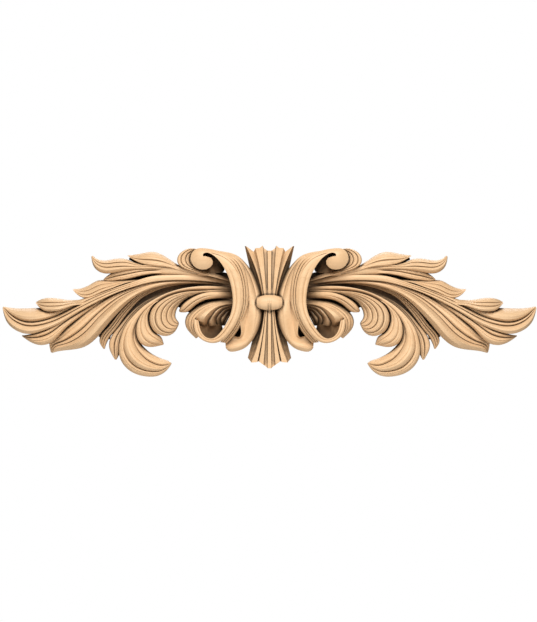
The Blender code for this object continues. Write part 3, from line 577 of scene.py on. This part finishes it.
def closed_object(name, points, faces):
    """An object of those points and faces, its doubles merged and its faces pointing out."""
    mesh = bpy.data.meshes.new(name)
    mesh.from_pydata(points.tolist(), [], faces)
    work = bmesh.new()
    work.from_mesh(mesh)
    bmesh.ops.remove_doubles(work, verts=work.verts, dist=WELD)
    bmesh.ops.recalc_face_normals(work, faces=work.faces)
    work.to_mesh(mesh)
    work.free()
    return bpy.data.objects.new(name, mesh)


def planing_block():
    """The solid that the back is planed flat with: everything behind the back's plane."""
    thick = 0.1
    work = bmesh.new()
    bmesh.ops.create_cube(work, size=1.0)
    bmesh.ops.scale(work, verts=work.verts, vec=(4 * HALF_WIDTH, thick, 2 * HALF_WIDTH))
    bmesh.ops.translate(work, verts=work.verts, vec=(0, thick / 2, 0))
    mesh = bpy.data.meshes.new("planing_block")
    work.to_mesh(mesh)
    work.free()
    return bpy.data.objects.new("planing_block", mesh)


def height_map(solids, cell, margin):
    """The highest relief of all the lobes on a square grid of the pattern, and the grid's first corner.

    It is LOWEST where there is no lobe. Each lobe's face is read at places no further apart than half a cell,
    by going straight between its own.
    """
    low = np.array([TIP - margin, min(down.min() for _, down, _ in solids) - margin])
    high = np.array([2 * AXIS - TIP + margin, max(down.max() for _, down, _ in solids) + margin])
    size = np.ceil((high - low) / cell).astype(int) + 1
    heights = np.full(size, LOWEST)
    for across, down, relief in solids:
        grid = np.stack([across, down, relief], axis=-1)
        for axis in (0, 1):
            gap = np.linalg.norm(np.diff(grid[..., :2], axis=axis), axis=-1).max()
            fine = int(np.ceil(2 * gap / cell))
            at = np.arange((grid.shape[axis] - 1) * fine + 1) / fine
            whole = np.minimum(at.astype(int), grid.shape[axis] - 2)
            part = (at - whole).reshape((-1, 1, 1) if axis == 0 else (1, -1, 1))
            grid = np.take(grid, whole, axis) * (1 - part) + np.take(grid, whole + 1, axis) * part
        places = grid.reshape(-1, 3)
        for side in (places[:, 0], 2 * AXIS - places[:, 0]):
            index = np.rint((np.stack([side, places[:, 1]], -1) - low) / cell).astype(int)
            index = np.clip(index, 0, size - 1)
            np.maximum.at(heights, (index[:, 0], index[:, 1]), places[:, 2])
    return heights, low


def openness(points, normals, solids, cut):
    """How much of what each point faces is open, from 0 to 1.

    Round each point, in even steps of azimuth, the horizon is the steepest way up to the height map. A
    direction is open when it lies above the horizon, and counts by how squarely the surface faces it.
    """
    cell = cut.map_cell / SQUARE
    heights, low = height_map(solids, cell, cut.reach / SQUARE)
    place_at = np.stack([points[:, 0] / SQUARE + AXIS, LEVEL - points[:, 2] / SQUARE], axis=-1)
    own = -points[:, 1] / SQUARE
    radii = np.geomspace(2 * cell, cut.reach / SQUARE, RINGS)
    elevations = np.linspace(-STEEPEST, STEEPEST, ELEVATIONS)
    seen = np.zeros(len(points))
    total = np.full(len(points), TINY)
    for azimuth in np.linspace(0, 2 * np.pi, AZIMUTHS, endpoint=False):
        way = np.array([np.cos(azimuth), np.sin(azimuth)])
        horizon = np.full(len(points), -np.pi / 2)
        for radius in radii:
            index = np.rint((place_at + way * radius - low) / cell).astype(int)
            index = np.clip(index, 0, np.array(heights.shape) - 1)
            rise = heights[index[:, 0], index[:, 1]] - own - HORIZON_SLACK
            horizon = np.maximum(horizon, np.where(rise < LOWEST / 2, -np.pi / 2, np.arctan2(rise, radius)))
        for elevation in elevations:
            flat, out = np.cos(elevation), np.sin(elevation)
            ray = np.array([way[0] * flat, -out, -way[1] * flat])
            weight = np.maximum(normals @ ray, 0) * flat
            total += weight
            seen += weight * (elevation > horizon)
    return seen / total


def add_node(owner, kind, settings=None, links=None):
    """Adds a shader node to a material or a world.

    It sets the node's inputs, by name or number, and its properties, and links its inputs to other nodes'
    outputs.
    """
    node = owner.node_tree.nodes.new(kind)
    for key, value in (settings or {}).items():
        if isinstance(key, int) or key in node.inputs:
            node.inputs[key].default_value = value
        else:
            setattr(node, key, value)
    for key, output in (links or {}).items():
        owner.node_tree.links.new(output, node.inputs[key])
    return node


def new_material(name):
    """An empty material and its shader, joined to the output."""
    material = bpy.data.materials.new(name)
    material.use_nodes = True
    material.node_tree.nodes.clear()
    shader = add_node(material, "ShaderNodeBsdfPrincipled")
    add_node(material, "ShaderNodeOutputMaterial", links={"Surface": shader.outputs["BSDF"]})
    return material, shader


def carved_beech(finish):
    """Steamed beech, carved across and along the grain and then sanded, with no more than a thin waxing.

    The eye gets a warm, even, pale wood: a broad change of tone along the board, fine straight grain, and the
    short dark flecks of beech's rays, all lying along X. Shade is painted into the deepest places: the less
    open a point is, the more its colour is mixed towards a dark brown.
    """
    material, shader = new_material("carved_beech")
    coords = add_node(material, "ShaderNodeTexCoord").outputs["Object"]
    board, fleck_space = (
        add_node(
            material, "ShaderNodeMapping", {"Scale": (stretch, 1.0, 1.0)}, {"Vector": coords}
        ).outputs["Vector"]
        for stretch in (finish.grain_stretch, finish.fleck_stretch)
    )
    tone = add_node(
        material, "ShaderNodeTexNoise",
        {"Scale": 1 / finish.tone_width, "Detail": 2.0, "Roughness": 0.5}, {"Vector": board},
    ).outputs["Fac"]
    grain = add_node(
        material, "ShaderNodeTexNoise",
        {"Scale": 1 / finish.grain_width, "Detail": 3.0, "Roughness": 0.6, "Distortion": 0.3},
        {"Vector": board},
    ).outputs["Fac"]
    fleck = add_node(
        material, "ShaderNodeTexVoronoi",
        {"Scale": 1 / finish.fleck_spacing, "Randomness": 1.0}, {"Vector": fleck_space},
    ).outputs["Distance"]
    tone_share = add_node(
        material, "ShaderNodeMapRange", {"From Min": 0.3, "From Max": 0.7}, {"Value": tone}
    ).outputs["Result"]
    wood = add_node(
        material, "ShaderNodeMix",
        {"data_type": "RGBA", 6: hex_color(finish.pale), 7: hex_color(finish.warm)}, {0: tone_share},
    ).outputs[2]
    grain_share = add_node(
        material, "ShaderNodeMapRange",
        {"From Min": 0.48, "From Max": 0.78, "To Min": 0.0, "To Max": finish.grain_strength},
        {"Value": grain},
    ).outputs["Result"]
    grained = add_node(
        material, "ShaderNodeMix",
        {"data_type": "RGBA", 7: hex_color(finish.grain)}, {0: grain_share, 6: wood},
    ).outputs[2]
    fleck_share = add_node(
        material, "ShaderNodeMapRange",
        {"From Min": 0.10, "From Max": 0.26, "To Min": finish.fleck_strength, "To Max": 0.0},
        {"Value": fleck},
    ).outputs["Result"]
    flecked = add_node(
        material, "ShaderNodeMix",
        {"data_type": "RGBA", 7: hex_color(finish.fleck)}, {0: fleck_share, 6: grained},
    ).outputs[2]
    # Painted shade: where the openness attribute is low (creases, recesses, round the bead), the wood is
    # mixed towards a dark brown.
    opened = add_node(material, "ShaderNodeAttribute", {"attribute_name": "openness"}).outputs["Fac"]
    clear = add_node(
        material, "ShaderNodeMapRange",
        {"From Min": finish.painted_shade_from, "From Max": finish.painted_shade_to, "interpolation_type": "SMOOTHSTEP"},
        {"Value": opened},
    ).outputs["Result"]
    with_painted_shade = add_node(
        material, "ShaderNodeMix", {"data_type": "RGBA", 6: hex_color(finish.painted_shade)}, {0: clear, 7: flecked}
    ).outputs[2]
    material.node_tree.links.new(with_painted_shade, shader.inputs["Base Color"])
    bump = add_node(
        material, "ShaderNodeBump", {"Strength": 0.25, "Distance": finish.grain_depth}, {"Height": grain},
    ).outputs["Normal"]
    material.node_tree.links.new(bump, shader.inputs["Normal"])
    shader.inputs["Roughness"].default_value = finish.roughness
    shader.inputs["IOR"].default_value = 1.45
    shader.inputs["Specular IOR Level"].default_value = 0.35
    return material


def floor_paint():
    """A plain matt floor: off-white paint, rolled on, with no pattern of its own."""
    material, shader = new_material("floor_paint")
    shader.inputs["Base Color"].default_value = hex_color("#F4F3F0")
    shader.inputs["Roughness"].default_value = 0.9
    return material


def studio_air(fill_strength):
    """A world that looks white and lights the crest softly from all round."""
    world = bpy.data.worlds.new("studio")
    world.use_nodes = True
    world.node_tree.nodes.clear()
    shown = add_node(world, "ShaderNodeBackground", {"Strength": 1.0, "Color": (1, 1, 1, 1)})
    fill = add_node(world, "ShaderNodeBackground", {"Strength": fill_strength, "Color": hex_color("#FFF8EE")})
    path = add_node(world, "ShaderNodeLightPath")
    mix = add_node(
        world, "ShaderNodeMixShader",
        links={
            "Fac": path.outputs["Is Camera Ray"],
            1: fill.outputs["Background"],
            2: shown.outputs["Background"],
        },
    )
    add_node(world, "ShaderNodeOutputWorld", links={"Surface": mix.outputs["Shader"]})
    return world


def area_light(name, stage, side, height, power):
    """A square light that faces the bead from that angle above it: in front at side -1, behind at side 1."""
    light = bpy.data.objects.new(name, bpy.data.lights.new(name, "AREA"))
    light.data.size, light.data.energy = stage.key_size, power
    towards = Vector((0, side * np.cos(height), np.sin(height)))
    light.location = towards * stage.key_distance
    light.rotation_euler = towards.to_track_quat("Z", "Y").to_euler()
    bpy.context.scene.collection.objects.link(light)
    return light


class CrestCut(bpy.types.PropertyGroup):
    """How finely the carving is cut."""

    row_step: FloatProperty(
        name="Row step", description="Distance between two rows of faces along a lobe",
        default=1.9 * SQUARE, min=0.0005, unit="LENGTH",
    )
    roll_columns: IntProperty(
        name="Roll columns", description="Columns of faces across one roll of a lobe", default=7, min=2,
    )
    deepening: FloatProperty(
        name="Deepening", description="How many times as deep as in the table the domes and rolls are cut",
        default=1.4, min=0.1, max=3,
    )
    line_share: FloatProperty(
        name="Line share",
        description="Rise of a roll between finer lines, as a share of a roll between creases",
        default=0.5, min=0, max=2,
    )
    roll_power: FloatProperty(
        name="Roll power", description="How round a roll is: 0.5 is a half ellipse, 1 is a parabola",
        default=0.62, min=0.5, max=1.0,
    )
    fan_rows: IntProperty(name="Fan rows", description="Rows of faces along a fan", default=48, min=4)
    bead_sides: IntProperty(name="Bead sides", description="Faces round the bead", default=64, min=8)
    map_cell: FloatProperty(
        name="Map cell", description="Side of a cell of the height map that openness is read from",
        default=0.5 * SQUARE, unit="LENGTH",
    )
    back_open: FloatProperty(
        name="Back open", description="How open the flat back is taken to be", default=1.0,
    )
    reach: FloatProperty(
        name="Reach", description="How far round a point its openness is looked at", default=22 * SQUARE,
        unit="LENGTH",
    )
    crease_angle: FloatProperty(
        name="Crease angle", description="Faces that meet at more than this angle meet in a sharp edge",
        default=np.radians(34), subtype="ANGLE",
    )


class CrestWoodAndShade(bpy.types.PropertyGroup):
    """The wood, how it was finished, and the colour of the shade painted into its deepest places."""

    pale: StringProperty(
        name="Pale wood", description="The wood's palest tone, as a hex colour", default="#CFAE88",
    )
    warm: StringProperty(
        name="Warm wood", description="The wood's warmest tone, as a hex colour", default="#C7A37B",
    )
    grain: StringProperty(name="Grain", description="The colour of the late wood's lines", default="#B08A60")
    fleck: StringProperty(name="Flecks", description="The colour of the ray flecks", default="#8F6A48")
    # The dark brown of the painted shade in the deepest places and round the bead.
    painted_shade: StringProperty(
        name="Shade", description="The colour of the old wax left in the deepest places", default="#2C1D12",
    )
    painted_shade_from: FloatProperty(
        name="Wax from", description="Openness at which the wax hides the wood", default=-0.08, min=-1, max=1,
    )
    painted_shade_to: FloatProperty(
        name="Wax to", description="Openness at which there is no wax left", default=0.66, min=0, max=1,
    )
    tone_width: FloatProperty(
        name="Tone width", description="Width of a band of one tone across the board",
        default=30 * MM, unit="LENGTH",
    )
    grain_width: FloatProperty(
        name="Grain width", description="Distance between two lines of the grain",
        default=3.0 * MM, unit="LENGTH",
    )
    grain_strength: FloatProperty(
        name="Grain strength", description="How much the grain's colour shows", default=0.3, min=0, max=1,
    )
    grain_depth: FloatProperty(
        name="Grain depth", description="Height of the raised grain", default=0.15 * MM, unit="LENGTH",
    )
    grain_stretch: FloatProperty(
        name="Grain stretch",
        description="Width of the grain's figure as a share of its length along the board",
        default=0.12, min=0.01, max=1,
    )
    fleck_spacing: FloatProperty(
        name="Fleck spacing", description="Distance between two ray flecks", default=2.2 * MM, unit="LENGTH",
    )
    fleck_stretch: FloatProperty(
        name="Fleck stretch", description="Width of a ray fleck as a share of its length along the board",
        default=0.22, min=0.01, max=1,
    )
    fleck_strength: FloatProperty(
        name="Fleck strength", description="How much the flecks' colour shows", default=0.12, min=0, max=1,
    )
    roughness: FloatProperty(
        name="Roughness", description="Roughness of the sanded wood", default=0.5, min=0, max=1,
    )


class CrestStage(bpy.types.PropertyGroup):
    """The camera, the lights and the floor."""

    lens: FloatProperty(
        name="Lens", description="Focal length of the camera, in millimetres: long, for a flat view",
        default=300,
    )
    view_middle: FloatVectorProperty(
        name="View middle", description="The column and row of the pattern at the middle of the picture",
        size=2, default=(SHEET[0] / 2, SHEET[1] / 2),
    )
    key_height: FloatProperty(
        name="Key height", description="Angle of the key light above the line of sight",
        default=np.radians(38), subtype="ANGLE",
    )
    key_distance: FloatProperty(
        name="Key distance", description="How far the lights are from the bead", default=2.0, unit="LENGTH",
    )
    key_size: FloatProperty(name="Key size", description="Side of each light", default=1.2, unit="LENGTH")
    key_power: FloatProperty(name="Key power", description="Power of the key light, in watts", default=67)
    rim_height: FloatProperty(
        name="Rim height", description="Angle of the light behind the crest above the level",
        default=np.radians(40), subtype="ANGLE",
    )
    rim_power: FloatProperty(
        name="Rim power", description="Power of the light behind the crest, in watts", default=18,
    )
    fill: FloatProperty(name="Fill", description="Brightness of the light from all round", default=0.08)
    floor_drop: FloatProperty(
        name="Floor drop", description="How far the floor is below the bead", default=0.42, unit="LENGTH",
    )


class CREST_OT_carving(bpy.types.Operator):
    """Carves the crest: every lobe in one solid, its back planed flat, cut at the centre line and mirrored"""

    bl_idname = "crest.carving"
    bl_label = "Carve the crest"

    def execute(self, context):
        cut, finish = context.scene.crest_cut, context.scene.crest_finish
        solids = {name: lobe_surface(lobe, LINES.get(name, ()), cut) for name, lobe in LOBES.items()}
        solids.update({name: fan_surface(fan, cut) for name, fan in FANS.items()})
        blocks = [
            block(name, surface, FOOT + FOOT_STEP * i) for i, (name, surface) in enumerate(solids.items())
        ]
        blocks.append(bead("bead", BEAD["half_length"], 1.0, cut))
        blocks.append(bead("collar", BEAD["collar_half_length"], BEAD["collar_thickness"], cut))
        plane = planing_block()
        for obj in (*blocks, plane):
            context.scene.collection.objects.link(obj)
        lobes = bpy.data.collections.new("lobes")
        context.scene.collection.children.link(lobes)
        for obj in blocks[1:]:
            lobes.objects.link(obj)
        body = blocks[0]
        union = body.modifiers.new("lobes", "BOOLEAN")
        union.operation, union.operand_type, union.solver = "UNION", "COLLECTION", "MANIFOLD"
        union.collection = lobes
        planing = body.modifiers.new("flat_back", "BOOLEAN")
        planing.operation, planing.object, planing.solver = "DIFFERENCE", plane, "MANIFOLD"
        mirror = body.modifiers.new("right_half", "MIRROR")
        mirror.use_axis[0] = mirror.use_bisect_axis[0] = mirror.use_bisect_flip_axis[0] = True
        mirror.merge_threshold = HALVES_WELD
        mesh = bpy.data.meshes.new_from_object(body.evaluated_get(context.evaluated_depsgraph_get()))
        for obj in (*blocks, plane):
            bpy.data.objects.remove(obj)
        bpy.data.collections.remove(lobes)
        if len(mesh.polygons) < FEWEST_FACES:
            raise RuntimeError("the carving came out empty")
        mesh.name = "carved_crest"
        points, normals = np.empty((2, len(mesh.vertices), 3), np.float32)
        mesh.vertices.foreach_get("co", points.ravel())
        mesh.vertices.foreach_get("normal", normals.ravel())
        # Each point's openness times the painted shade round the bead: where it is low, the material paints
        # shade.
        at_points = openness(points, normals, list(solids.values()), cut) * round_bead(points)
        corners = np.empty(len(mesh.loops), np.int32)
        mesh.loops.foreach_get("vertex_index", corners)
        facing, sides = np.empty((len(mesh.polygons), 3), np.float32), np.empty(len(mesh.polygons), np.int32)
        mesh.polygons.foreach_get("normal", facing.ravel())
        mesh.polygons.foreach_get("loop_total", sides)
        at_corners = np.where(np.repeat(facing[:, 1] > BACKWARD, sides), cut.back_open, at_points[corners])
        opened = mesh.attributes.new("openness", "FLOAT", "CORNER")
        opened.data.foreach_set("value", at_corners.astype(np.float32))
        mesh.shade_smooth()
        mesh.set_sharp_from_angle(angle=cut.crease_angle)
        mesh.materials.clear()
        mesh.materials.append(carved_beech(finish))
        crest = bpy.data.objects.new("carved_crest", mesh)
        context.scene.collection.objects.link(crest)
        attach(crest, "root")
        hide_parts("crest_applique")
        return {"FINISHED"}


class CREST_OT_stage(bpy.types.Operator):
    """Sets the camera, the lights and the floor"""

    bl_idname = "crest.stage"
    bl_label = "Set the stage"

    def execute(self, context):
        scene, stage = context.scene, context.scene.crest_stage
        middle = Vector(place(*stage.view_middle, 0).tolist())
        camera = bpy.data.objects.new("camera", bpy.data.cameras.new("camera"))
        camera.data.lens = stage.lens
        camera.data.sensor_width = SENSOR
        camera.data.clip_end = 100
        distance = SHEET[1] * SQUARE * stage.lens / SENSOR
        camera.location = middle + Vector((0, -distance, 0))
        camera.rotation_euler = (np.pi / 2, 0, 0)
        scene.collection.objects.link(camera)
        scene.camera = camera

        area_light("key_light", stage, -1, stage.key_height, stage.key_power)
        rim = area_light("rim_light", stage, 1, stage.rim_height, stage.rim_power)
        rim.visible_camera = False
        scene.world = studio_air(stage.fill)

        mesh = bpy.data.meshes.new("floor")
        sides = ((-FLOOR, -FLOOR), (FLOOR, -FLOOR), (FLOOR, FLOOR / 4), (-FLOOR, FLOOR / 4))
        mesh.from_pydata([(x, y, -stage.floor_drop) for x, y in sides], [], [(0, 1, 2, 3)])
        mesh.materials.append(floor_paint())
        floor = bpy.data.objects.new("floor", mesh)
        scene.collection.objects.link(floor)
        scene.view_settings.view_transform = "Standard"
        return {"FINISHED"}


class CREST_PT_panel(bpy.types.Panel):
    """Lists what the crest is made with"""

    bl_idname = "CREST_PT_panel"
    bl_label = "Carved Crest"
    bl_space_type = "VIEW_3D"
    bl_region_type = "UI"
    bl_category = "Crest"

    def draw(self, context):
        scene = context.scene
        for group in (scene.crest_cut, scene.crest_finish, scene.crest_stage):
            for name in group.__annotations__:
                self.layout.prop(group, name)
        for operator in ("crest.carving", "crest.stage"):
            self.layout.operator(operator)


CLASSES = (CrestCut, CrestWoodAndShade, CrestStage, CREST_OT_carving, CREST_OT_stage, CREST_PT_panel)


def register():
    for cls in CLASSES:
        bpy.utils.register_class(cls)
    bpy.types.Scene.crest_cut = PointerProperty(type=CrestCut)
    bpy.types.Scene.crest_finish = PointerProperty(type=CrestWoodAndShade)
    bpy.types.Scene.crest_stage = PointerProperty(type=CrestStage)


def unregister():
    del bpy.types.Scene.crest_stage, bpy.types.Scene.crest_finish, bpy.types.Scene.crest_cut
    for cls in reversed(CLASSES):
        bpy.utils.unregister_class(cls)


def main():
    register()
    bpy.ops.crest.carving()
    bpy.ops.crest.stage()


if __name__ == "__main__":
    main()
